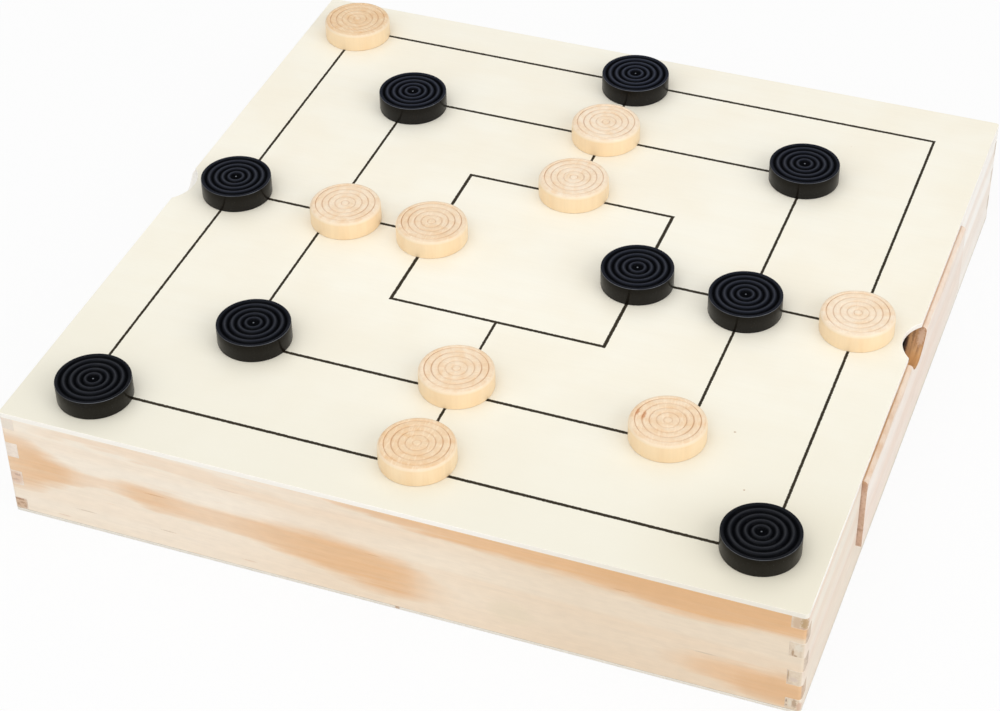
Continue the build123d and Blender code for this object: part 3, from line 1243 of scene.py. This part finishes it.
class Finishes:
    """Every material of the box, made once."""

    def __init__(self, s: BoxSizes) -> None:
        """Builds the materials."""
        # Painted light: the front wall lighter to the left and darker to the right
        painted_light = (
            (-105, 24, 75, 90, shade(250, 240, 224), 0.8, 0.05),
            (112, 24, 80, 90, shade(236, 219, 196), 0.85, 0.05),
        )
        self.front = PineFinish(
            "pine_front",
            end_pale=shade(214, 196, 178),
            end_dark=shade(186, 160, 138),
            contrast=0.12,
            bands=FRONT_BANDS,
            painted_light=on_front(10, painted_light),
            stains=front_ticks(),
        ).material()
        self.back = PineFinish(
            "pine_back", contrast=0.75, ring_width=9 * MM, sway=9 * MM
        ).material()
        side = {
            "along": Axis.Y,
            "pale": shade(241, 232, 218),
            "blush": shade(239, 222, 208),
            "streak": shade(232, 206, 182),
            "edge": shade(247, 239, 228),
            "contrast": 0.35,
        }
        # Painted light: the right wall paler towards its back end
        far_painted_light = Stain((150, 135, 24), (10, 80, 90), shade(255, 251, 245), 1, 0.05)
        self.right = PineFinish(
            "pine_right",
            end_pale=shade(228, 212, 190),
            end_dark=shade(216, 196, 172),
            painted_light=(far_painted_light,),
            stains=right_end_stains(),
            **side,
        ).material()
        self.left = PineFinish(
            "pine_left",
            end_pale=shade(243, 230, 216),
            end_dark=shade(233, 219, 205),
            stains=left_end_stains(),
            **side,
        ).material()
        self.inner = PineFinish("pine_inner", contrast=0.6).material()
        drawer = {
            **side,
            "pale": shade(246, 238, 229),
            "blush": shade(243, 228, 216),
            "streak": shade(226, 176, 130),
            "end_pale": shade(220, 188, 165),
            "end_dark": shade(200, 164, 140),
            "contrast": 0.12,
        }
        outer = s.width / 2 / MM + 1
        # Painted light: the left drawer front paler
        painted_highlight = Stain((-outer, 0, 40), (9, 60, 60), shade(251, 246, 237), 0.6, 0.05)
        self.drawer_fronts = {
            Side.RIGHT: PineFinish(
                "pine_drawer_front",
                bands=(CREST_BAND,),
                stains=drawer_front_stains(outer),
                notch_dark=shade(176, 126, 86),
                notch_pale=shade(216, 168, 118),
                **drawer,
            ).material(),
            Side.LEFT: PineFinish(
                "pine_drawer_front_left",
                painted_light=(painted_highlight,),
                # Painted light: its notch almost white
                notch_dark=shade(252, 249, 243),
                notch_pale=shade(254, 252, 248),
                **drawer,
            ).material(),
        }
        self.drawer_base = PlywoodFinish(
            "plywood_drawer", s.sill_top + Drawer.groove_lift, Drawer.base_thickness
        ).material()
        knot = Stain((3.2, FRONT, 0.9), (1.1, 1, 0.6), shade(184, 146, 114), 0.8)
        self.base = PlywoodFinish("plywood_base", 0, s.base_thickness, stains=(knot,)).material()
        level, speck = s.board_top / MM, shade(176, 138, 100)
        # Painted shade: the board's front right corner and its edge darker
        corner = Stain((138, -132, level), (52, 44, 9), shade(228, 221, 201), 0.6, 0.05)
        edge = Stain((150, FRONT, 46.5), (112, 6, 9), shade(236, 230, 216), 0.8, 0.05)
        self.board = PrintedBoardFinish(
            top=s.board_top,
            stains=(
                corner,
                Stain((101.9, -71.5, level), (0.5, 0.4, 1), speck, 0.7, 0.3),
                Stain((113.4, -99.4, level), (0.4, 0.4, 1), speck, 0.7, 0.3),
            ),
            edge_painted_shade=(edge,),
        ).material()
        fleck = shade(200, 132, 80)
        self.beech = BeechFinish(
            stains=(
                Stain((68.8, -81.3, 55.3), (0.8, 1.9, 1), fleck, 0.75, 0.4),
                Stain((71.5, -82.2, 55.3), (0.8, 2.3, 1), fleck, 0.75, 0.4),
            )
        ).material()
        self.lacquer = LacquerFinish().material()


@dataclass
class Case:
    """The glued case: base, finger-jointed walls, guides, divider and printed board."""

    sizes: BoxSizes
    body: str = "case"
    finger_slots: int = 7
    end_finger: float = 5.2 * MM
    ledge_width: float = 10 * MM
    guide_thickness: float = 6 * MM
    bite_width: float = 21.5 * MM
    bite_depth: float = 4.5 * MM
    board_rounding: float = 0.8 * MM
    base_rounding: float = 0.25 * MM

    def comb_outline(self, length: float, first_gap: int) -> Outline:
        """Draws a wall seen from outside, with every other slot cut from both of its ends.

        Args:
            length: The wall's length.
            first_gap: The lowest slot that is cut away.

        Returns:
            The corners of the wall, once round.
        """
        s = self.sizes
        middle = (s.wall_height - 2 * self.end_finger) / (self.finger_slots - 2)
        inner = [self.end_finger + i * middle for i in range(self.finger_slots - 1)]
        levels = [s.base_thickness + level for level in (0.0, *inner, s.wall_height)]
        right = []
        for slot in range(self.finger_slots):
            gap = (slot - first_gap) % 2 == 0 and slot >= first_gap
            reach = length / 2 - (s.wall if gap else 0.0)
            right += [(reach, levels[slot]), (reach, levels[slot + 1])]
        return right + [(-x, z) for x, z in reversed(right)]

    def bare(self, edge: Edge) -> bool:
        """Says whether an edge of a wall is free of the board and the base."""
        return not any(
            all(abs(vert.co.z - level) < HAIR for vert in edge.verts)
            for level in (self.sizes.base_thickness, self.sizes.board_underside)
        )

    def comb_wall(self, length: float, first_gap: int, axis: Axis, limits: Limits) -> Solid:
        """Saws a wall with its fingers, its upright outer edges rounded like the case's."""
        wall = prism(self.comb_outline(length, first_gap), axis, limits)
        return carve(wall, self.sizes.block(0, self.sizes.board_top), Operation.KEEP)

    def long_wall(self, side: int) -> Solid:
        """Makes the back wall, for 1, or the front wall, for -1."""
        s = self.sizes
        outer = side * s.depth / 2
        limits = tuple(sorted((outer, outer - side * s.wall)))
        return ease(self.comb_wall(s.width, 0, Axis.Y, limits), s.arris, chosen=self.bare)

    def side_wall(self, side: Side) -> Solid:
        """Makes a side wall, cut away over its sill where the drawer comes out."""
        s = self.sizes
        wall = self.comb_wall(s.depth, 1, Axis.X, (s.inner_face, s.width / 2))
        across = (s.inner_face - s.wall, s.width / 2 + s.wall)
        opening = slab(across, (-s.guide_face, s.guide_face), (s.sill_top, s.board_top))
        return mirrored(ease(carve(wall, opening), s.arris, chosen=self.bare), side)

    def guide(self, side: int) -> Solid:
        """Makes the L-shaped strip behind the drawers, for 1, or before them, for -1."""
        s = self.sizes
        ledge, outer = s.guide_face - self.ledge_width, s.guide_face + self.guide_thickness
        profile = [
            (ledge, s.base_thickness),
            (outer, s.base_thickness),
            (outer, s.board_underside),
            (s.guide_face, s.board_underside),
            (s.guide_face, s.sill_top),
            (ledge, s.sill_top),
        ]
        section = [(side * y, z) for y, z in profile]
        return ease(prism(section, Axis.X, (-s.inner_face, s.inner_face)), s.arris)

    def middle(self) -> Solid:
        """Makes the upright board between the ledges that both drawers stop against."""
        s = self.sizes
        reach = s.guide_face - self.ledge_width
        half = s.divider / 2
        board = slab((-half, half), (-reach, reach), (s.base_thickness, s.board_underside))
        return ease(board, s.arris)

    def base(self) -> Solid:
        """Makes the thin base."""
        return ease(self.sizes.block(0, self.sizes.base_thickness), self.base_rounding)

    def board(self) -> Solid:
        """Makes the printed board with its two fingertip bites and its rounded upper edge."""
        s = self.sizes
        board = s.block(s.board_underside, s.board_top)
        radius = arc_radius(self.bite_width, self.bite_depth)
        for side in (-1, 1):
            centre = (side * (s.width / 2 - self.bite_depth + radius), 0.0)
            bite = prism(round_outline(centre, radius), Axis.Z, (0, s.board_top + s.wall))
            board = carve(board, bite)
        low = s.board_top - MM
        return ease(board, self.board_rounding, 4, lambda e: min(v.co.z for v in e.verts) > low)

    def build(self, finishes: Finishes) -> None:
        """Makes and dresses every piece of the case."""
        x, y, pine = Axis.X, Axis.Y, Slot.PINE
        front, back = Stock(x, (0.05, 0.01)), Stock(x, (0.03, -0.004), 0.03)
        right, left = Stock(y, (0.06, 0.02)), Stock(y, (0.05, -0.01))
        printed = Stock(x, (0.2, 0.0), 0.05, True)
        jobs = (
            ("base_board", self.base(), Slot.PLYWOOD, Stock(x, sheet=True), finishes.base),
            ("front_wall", self.long_wall(-1), pine, front, finishes.front),
            ("back_wall", self.long_wall(1), pine, back, finishes.back),
            ("right_wall", self.side_wall(Side.RIGHT), pine, right, finishes.right),
            ("left_wall", self.side_wall(Side.LEFT), pine, left, finishes.left),
            ("front_drawer_guide", self.guide(-1), pine, Stock(x), finishes.inner),
            ("back_drawer_guide", self.guide(1), pine, Stock(x), finishes.inner),
            ("centre_divider", self.middle(), pine, Stock(y), finishes.inner),
            ("game_board", self.board(), Slot.PRINTED_BOARD, printed, finishes.board),
        )
        for name, solid, slot, stock, material in jobs:
            Piece(name, self.body, slot).saw(solid, stock, material)


@dataclass
class Drawer:
    """One drawer: a notched front, two sides, a back and a thin base let into a groove."""

    sizes: BoxSizes
    side: Side
    proud: float = 2 * MM
    front_thickness: float = 7 * MM
    front_rounding: float = 1.5 * MM
    side_thickness: float = 5 * MM
    back_thickness: float = 5 * MM
    side_drop: float = 5 * MM
    base_thickness: float = 3 * MM
    groove_lift: float = 3 * MM
    groove_depth: float = 2.5 * MM
    groove_play: float = 0.2 * MM
    notch_width: float = 23.5 * MM
    notch_depth: float = 7.5 * MM
    top_clearance: float = 0.5 * MM
    arris: float = 0.3 * MM

    def __post_init__(self) -> None:
        """Works out the levels and places that follow from the sizes."""
        s = self.sizes
        self.top = s.board_underside - self.top_clearance
        self.rear = s.divider / 2
        self.front_face = s.width / 2 + self.proud
        self.front_inner = self.front_face - self.front_thickness
        self.inner_half_width = s.drawer_width / 2 - self.side_thickness

    def groove(self) -> Solid:
        """Makes the space that the walls leave free for the edges of the base."""
        half = self.inner_half_width + self.groove_depth
        rear = self.rear + self.back_thickness - self.groove_depth
        bottom = self.sizes.sill_top + self.groove_lift
        levels = (bottom, bottom + self.base_thickness + self.groove_play)
        return slab((rear, self.front_inner + self.groove_depth), (-half, half), levels)

    def front(self) -> Solid:
        """Makes the front, with its fingertip notch and its rounded outer top edge."""
        s = self.sizes
        outer, half = self.front_face, s.drawer_width / 2

        def crest(edge: Edge) -> bool:
            """Says whether this is the outer top edge."""
            return all(v.co.z > self.top - HAIR and v.co.x > outer - HAIR for v in edge.verts)

        front = slab((self.front_inner, outer), (-half, half), (s.sill_top, self.top))
        ease(front, self.front_rounding, 6, crest)
        radius = arc_radius(self.notch_width, self.notch_depth)
        middle = (0.0, self.top - self.notch_depth + radius)
        through = (self.front_inner - s.wall, outer + s.wall)
        front = carve(front, prism(round_outline(middle, radius, 128), Axis.X, through))
        front = carve(front, self.groove())
        notch = front.faces.layers.float.new("notch")
        for face in front.faces:
            spans = (math.dist(vert.co.yz, middle) for vert in face.verts)
            face[notch] = float(all(abs(span - radius) < 0.1 * MM for span in spans))
        return ease(front, self.arris)

    def wall(self, x: Limits, y: Limits) -> Solid:
        """Makes a side or the inner end, grooved for the base."""
        levels = (self.sizes.sill_top, self.top - self.side_drop)
        return ease(carve(slab(x, y, levels), self.groove()), self.arris)

    def long_side(self, sign: int) -> Solid:
        """Makes the side that lies towards the back, for 1, or towards the front, for -1."""
        across = sorted((sign * self.inner_half_width, sign * self.sizes.drawer_width / 2))
        return self.wall((self.rear, self.front_inner), tuple(across))

    def back(self) -> Solid:
        """Makes the inner end, between the sides."""
        half = self.inner_half_width
        return self.wall((self.rear, self.rear + self.back_thickness), (-half, half))

    def base(self) -> Solid:
        """Makes the thin base, a little smaller than its groove."""
        half = self.inner_half_width + self.groove_depth - self.groove_play
        rear = self.rear + self.back_thickness - self.groove_depth + self.groove_play
        front = self.front_inner + self.groove_depth - self.groove_play
        bottom = self.sizes.sill_top + self.groove_lift
        base = slab((rear, front), (-half, half), (bottom, bottom + self.base_thickness))
        return ease(base, self.sizes.arris)

    def build(self, finishes: Finishes) -> None:
        """Makes and dresses every piece of the drawer."""
        inner, pine, sign = finishes.inner, Slot.PINE, self.side.value
        along, across = Stock(Axis.X), Stock(Axis.Y, (0.05, 0.01))
        sheet = Stock(Axis.X, sheet=True)
        jobs = (
            ("front", self.front(), pine, across, finishes.drawer_fronts[self.side]),
            ("back_side", self.long_side(sign), pine, along, inner),
            ("front_side", self.long_side(-sign), pine, along, inner),
            ("back", self.back(), pine, across, inner),
            ("base", self.base(), Slot.PLYWOOD, sheet, finishes.drawer_base),
        )
        body = f"{self.side.name.lower()}_drawer"
        for part, solid, slot, stock, material in jobs:
            piece = Piece(f"{body}_{part}", body, slot)
            piece.saw(mirrored(solid, self.side), stock, material)


# --- The discs -------------------------------------------------------------------------------


@dataclass(frozen=True)
class RimPoint:
    """One point of a disc's turned profile, with its groove darkening and painted highlight."""

    radius: float
    height: float
    groove: float = 0.0
    arris: float = 0.0


@dataclass(frozen=True)
class TurnedForm:
    """How the top and the rim of a disc are turned.

    Attributes:
        rings: Radii of the grooves, as shares of the disc's radius.
        depth: How deep the grooves are.
        crown: How flat the ridges between them are: 2 for round ones, more for flatter ones.
        groove_share: How much of the way down from a ridge is darkened as groove, with painted
            shade.
        rim_rounding: Size of the rounding of the upper rim.
        rim_highlight_strength: How strong the painted highlight on that rounding is.
        highlight_steps: The points of the rounding that carry it, of six from the top down.
        land_shade: How much painted shade darkens the flat ring round the outermost groove.
        dimple: Whether the middle is sunk, with only a point left by the lathe.
        pale_tone_and_sheen: How pale each disc is: its own tone for the natural discs, painted
            reflection for the black ones.
    """

    rings: tuple[float, ...]
    depth: float
    crown: float
    groove_share: float
    rim_rounding: float
    rim_highlight_strength: float
    highlight_steps: tuple[int, ...]
    land_shade: float
    dimple: bool
    pale_tone_and_sheen: tuple[float, ...]


FORMS = {
    DiscColour.BLACK: TurnedForm(
        rings=(0.12, 0.29, 0.475, 0.67, 0.862),
        depth=0.9 * MM,
        crown=1.6,
        groove_share=0.95,
        rim_rounding=0.5 * MM,
        rim_highlight_strength=0.6,
        highlight_steps=(4,),
        land_shade=0.5,
        dimple=True,
        # Painted reflection: paler for the black discs that catch more of the room's light
        pale_tone_and_sheen=(1.0, 0.0, 0.1, 0.55, 0.8, 0.55, 0.5, 0.3, 0.5),
    ),
    DiscColour.NATURAL: TurnedForm(
        rings=(0.11, 0.29, 0.47, 0.65, 0.84),
        depth=0.28 * MM,
        crown=7.0,
        groove_share=0.14,
        rim_rounding=1.5 * MM,
        rim_highlight_strength=1.0,
        highlight_steps=(3, 4, 5),
        land_shade=0.0,
        dimple=False,
        pale_tone_and_sheen=(0.0, 1.0, 0.15, 1.0, 0.5, 0.65, 0.8, 1.0, 0.55),
    ),
}


@dataclass
class DiscSet:
    """A set of nine turned discs with rings in their tops.

    Attributes:
        SPREAD: How much deeper or less deep the grooves of one disc are than the form says.
        POINT: How deep the lathe's point lies in a sunk middle, as a share of a groove.
        DIMPLE: The course of a sunk middle, as shares of the first ring and of a groove.
        STEEP: How quickly the darkening of a groove sets in.
    """

    SPREAD: ClassVar[Limits] = (0.85, 1.1)
    POINT: ClassVar[float] = 0.3
    DIMPLE: ClassVar[tuple[Limits, ...]] = ((0.25, 0.55), (0.55, 1.0), (1.0, 1.0))
    STEEP: ClassVar[float] = 1.4

    colour: DiscColour
    form: TurnedForm
    radius: float = 14 * MM
    thickness: float = 8 * MM
    foot_rounding: float = 0.4 * MM
    middle_drop: float = 0.1 * MM
    heart: float = 0.03
    steps_round: int = 80
    steps_across: int = 8
    steps_rim: int = 6
    steps_foot: int = 3

    def ridge(self, inner: float, outer: float, depth: float, start: float) -> list[RimPoint]:
        """Draws the ridge between two grooves.

        Args:
            inner: Radius at which it starts.
            outer: Radius at which it ends.
            depth: How deep the grooves beside it are.
            start: Where across the ridge it starts: -1 in the groove, 0 on the top.

        Returns:
            Its points, without the first one.
        """
        form = self.form
        points = []
        for step in range(1, self.steps_across + 1):
            share = step / self.steps_across
            turn = -math.cos(math.pi * share) if start < 0 else math.sin(math.pi / 2 * share)
            place = (turn - start) / (1 - start)
            groove = self.STEEP * (abs(turn) - 1 + form.groove_share) / form.groove_share
            groove = min(1.0, max(0.0, groove))
            height = self.thickness - depth * abs(turn) ** form.crown
            points.append(RimPoint(inner + (outer - inner) * place, height, groove))
        return points

    def profile(self, rng: random.Random) -> list[RimPoint]:
        """Draws half of a disc's section, from the centre of its top round to its foot's."""
        form = self.form
        depth = form.depth * rng.uniform(*self.SPREAD)
        rings = [ring * self.radius for ring in form.rings]
        top = self.thickness
        if form.dimple:
            # The lathe's point carries the painted highlight
            points = [RimPoint(0.0, top - self.POINT * depth, 0.0, 1.0)]
            for across, down in self.DIMPLE:
                points.append(RimPoint(across * rings[0], top - down * depth, 1.0))
        else:
            points = [RimPoint(0.0, top - self.middle_drop)]
            points += self.ridge(0.0, rings[0], depth, 0.0)
        for inner, outer in zip(rings, rings[1:]):
            points += self.ridge(inner, outer, depth, -1.0)
        flat = self.radius - form.rim_rounding
        # The flat ring round the outermost groove keeps some painted shade
        for point in reversed(self.ridge(flat, rings[-1], depth, 0.0)[:-1]):
            points.append(RimPoint(point.radius, point.height, max(point.groove, form.land_shade)))
        for step in range(self.steps_rim + 1):
            turn = step / self.steps_rim * math.pi / 2
            radius = flat + form.rim_rounding * math.sin(turn)
            height = top - form.rim_rounding * (1 - math.cos(turn))
            # Painted shade above the highlight, and the painted highlight on the chosen steps
            land_shade = form.land_shade * float(step < form.highlight_steps[0])
            painted_highlight = form.rim_highlight_strength * float(step in form.highlight_steps)
            points.append(RimPoint(radius, height, land_shade, painted_highlight))
        for step in range(self.steps_foot + 1):
            turn = step / self.steps_foot * math.pi / 2
            radius = self.radius - self.foot_rounding * (1 - math.cos(turn))
            points.append(RimPoint(radius, self.foot_rounding * (1 - math.sin(turn))))
        return [*points, RimPoint(0.0, 0.0)]

    def turn(self, name: str, centre: Vector, pale: float) -> bpy.types.Object:
        """Turns one disc.

        Args:
            name: Its name, which settles its own small differences.
            centre: The middle of its foot.
            pale: How pale it is: its own tone on a natural disc, painted reflection on a black
                one.

        Returns:
            The disc as an object that its finish can read.
        """
        rng = random.Random(name)
        solid = bmesh.new()
        profile = self.profile(rng)
        angles = [2 * math.pi * step / self.steps_round for step in range(self.steps_round)]
        rings = []
        for point in profile:
            if point.radius == 0.0:
                rings.append([solid.verts.new((0, 0, point.height))] * self.steps_round)
            else:
                spots = ((point.radius * math.cos(a), point.radius * math.sin(a)) for a in angles)
                rings.append([solid.verts.new((x, y, point.height)) for x, y in spots])
        for upper, lower in zip(rings, rings[1:]):
            for i in range(self.steps_round):
                j = (i + 1) % self.steps_round
                corners = dict.fromkeys((upper[i], lower[i], lower[j], upper[j]))
                solid.faces.new(tuple(corners))
        bmesh.ops.recalc_face_normals(solid, faces=solid.faces)
        solid.verts.index_update()
        grooves, arrises = np.zeros((2, len(solid.verts)))
        for point, ring in zip(profile, rings):
            for vert in ring:
                grooves[vert.index], arrises[vert.index] = point.groove, point.arris
        points = np.array([vert.co for vert in solid.verts])
        solid.normal_update()
        ends = np.array([abs(vert.normal.z) for vert in solid.verts])
        bmesh.ops.translate(solid, verts=solid.verts, vec=centre)
        for face in solid.faces:
            face.smooth = True
        made = to_object(solid, f"{name}_finished")
        turn = rng.uniform(0, 2 * math.pi)
        cos, sin = math.cos(turn), math.sin(turn)
        x, y, z = points.T
        timber = (z + rng.uniform(*ALONG_TREE), x * cos - y * sin + self.heart, x * sin + y * cos)
        told = {
            "timber": np.stack(timber, 1),
            "turned": points / self.radius,
            "ends": ends,
            "groove": grooves,
            "arris": arrises,
            "pale": np.full(len(points), pale),
        }
        for label, values in told.items():
            write_attribute(made.data, label, "POINT", values)
        return made

    def build(self, finishes: Finishes) -> None:
        """Turns, dresses and sets out the whole set."""
        natural = self.colour is DiscColour.NATURAL
        material = finishes.beech if natural else finishes.lacquer
        slot = Slot.BEECH if natural else Slot.LACQUER
        for number, pale in enumerate(self.form.pale_tone_and_sheen, start=1):
            name = f"{self.colour.value}_disc_{number}"
            low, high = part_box(name)
            centre = Vector(((low.x + high.x) / 2, (low.y + high.y) / 2, low.z))
            Piece(name, name, slot).deliver(self.turn(name, centre, pale), material)


# --- The studio ------------------------------------------------------------------------------


@dataclass(frozen=True)
class Softbox:
    """A square soft lamp that points at the box.

    Attributes:
        name: The lamp's name.
        towards: Direction from the box to the lamp.
        distance: How far away it is.
        size: Length of its sides.
        share: How much of full brightness it gives a white card that faces it.
    """

    name: str
    towards: Triple
    distance: float
    size: float
    share: float

    def hang(self) -> None:
        """Puts the lamp in the scene."""
        data = bpy.data.lights.new(self.name, "AREA")
        data.shape = "SQUARE"
        data.size = self.size
        data.energy = self.share * math.pi**2 * self.distance**2
        lamp = bpy.data.objects.new(self.name, data)
        direction = Vector(self.towards).normalized()
        lamp.location = direction * self.distance
        lamp.rotation_mode = "QUATERNION"
        lamp.rotation_quaternion = direction.to_track_quat("Z", "Y")
        bpy.context.scene.collection.objects.link(lamp)


@dataclass
class Studio:
    """Pale floor, soft light and the camera."""

    floor_half: float = 6.0
    floor_grey: float = 0.8
    floor_glow: float = 0.9
    sky: float = 0.46
    softboxes: tuple[Softbox, ...] = (
        Softbox("softbox_back", (-0.2, 0.45, 0.87), 1.3, 1.4, 0.215),
        Softbox("softbox_left", (-0.45, -0.55, 0.8), 1.4, 1.6, 0.325),
        Softbox("softbox_camera", (0.3, -0.55, 0.8), 1.4, 1.6, 0.32),
        Softbox("softbox_right", (0.85, -0.2, 0.5), 1.8, 1.2, 0.3),
    )
    eye: Triple = (0.261453, -0.704539, 0.619726)
    right: Triple = (0.93559448, 0.3527307, -0.01562111)
    down: Triple = (0.21343564, -0.60025955, -0.77080069)
    forward: Triple = (-0.28126179, 0.71782276, -0.63688483)
    focal_length: float = 2.446386
    sensor_width: float = 36.0
    clip: Limits = (0.01, 50.0)

    def light_world(self) -> None:
        """Surrounds the box with even light that the camera sees as white."""
        world = bpy.data.worlds.new("studio")
        bpy.context.scene.world = world
        world.use_nodes = True
        g = Graph(world.node_tree)
        seen = g.put("ShaderNodeLightPath")["Is Camera Ray"]
        strength = g.ramp(seen, (0.0, 1.0), (self.sky, 1.0), False)
        sky = world.node_tree.nodes["Background"]
        g.fill(sky.inputs, Color=(1.0, 1.0, 1.0), Strength=strength)

    def lay_floor(self) -> None:
        """Lays the floor, which keeps the shadow of the box and looks white round it."""
        half, grey = self.floor_half, (self.floor_grey,) * 3
        sheet = bmesh.new()
        corners = ((-half, -half), (half, -half), (half, half), (-half, half))
        sheet.faces.new([sheet.verts.new((x, y, 0.0)) for x, y in corners])
        floor = to_object(sheet, "floor")
        made, g, shader = blank("floor", Base_Color=grey, Roughness=0.9, Specular_IOR_Level=0.0)
        glow = g.put("ShaderNodeEmission", {"Color": (1.0, 1.0, 1.0), "Strength": 1.0})[0]
        seen = g.put("ShaderNodeLightPath")["Is Camera Ray"]
        inputs = {0: g.times(seen, self.floor_glow), 1: shader.outputs[0], 2: glow}
        both = g.put("ShaderNodeMixShader", inputs)[0]
        g.fill(made.node_tree.nodes["Material Output"].inputs, Surface=both)
        floor.data.materials.append(made)

    def set_camera(self) -> None:
        """Sets up the camera."""
        data = bpy.data.cameras.new("camera")
        data.sensor_width = self.sensor_width
        data.lens = self.focal_length * self.sensor_width
        data.clip_start, data.clip_end = self.clip
        camera = bpy.data.objects.new("camera", data)
        up, back = -Vector(self.down), -Vector(self.forward)
        turn = Matrix((self.right, up, back)).transposed()
        camera.matrix_world = Matrix.Translation(self.eye) @ turn.to_4x4()
        bpy.context.scene.collection.objects.link(camera)
        bpy.context.scene.camera = camera

    def build(self) -> None:
        """Sets up the whole studio."""
        self.light_world()
        self.lay_floor()
        for softbox in self.softboxes:
            softbox.hang()
        self.set_camera()
        bpy.context.scene.view_settings.view_transform = "Standard"
        log.info("studio: %d lamps and the camera", len(self.softboxes))


def main() -> None:
    """Builds the studio, the finishes and every piece, in order."""
    logging.basicConfig(level=logging.INFO, format="%(name)s %(message)s", stream=sys.stdout)
    Studio().build()
    sizes = BoxSizes()
    finishes = Finishes(sizes)
    Case(sizes).build(finishes)
    for side in Side:
        Drawer(sizes, side).build(finishes)
    for colour, form in FORMS.items():
        DiscSet(colour, form).build(finishes)


if __name__ == "__main__":
    main()
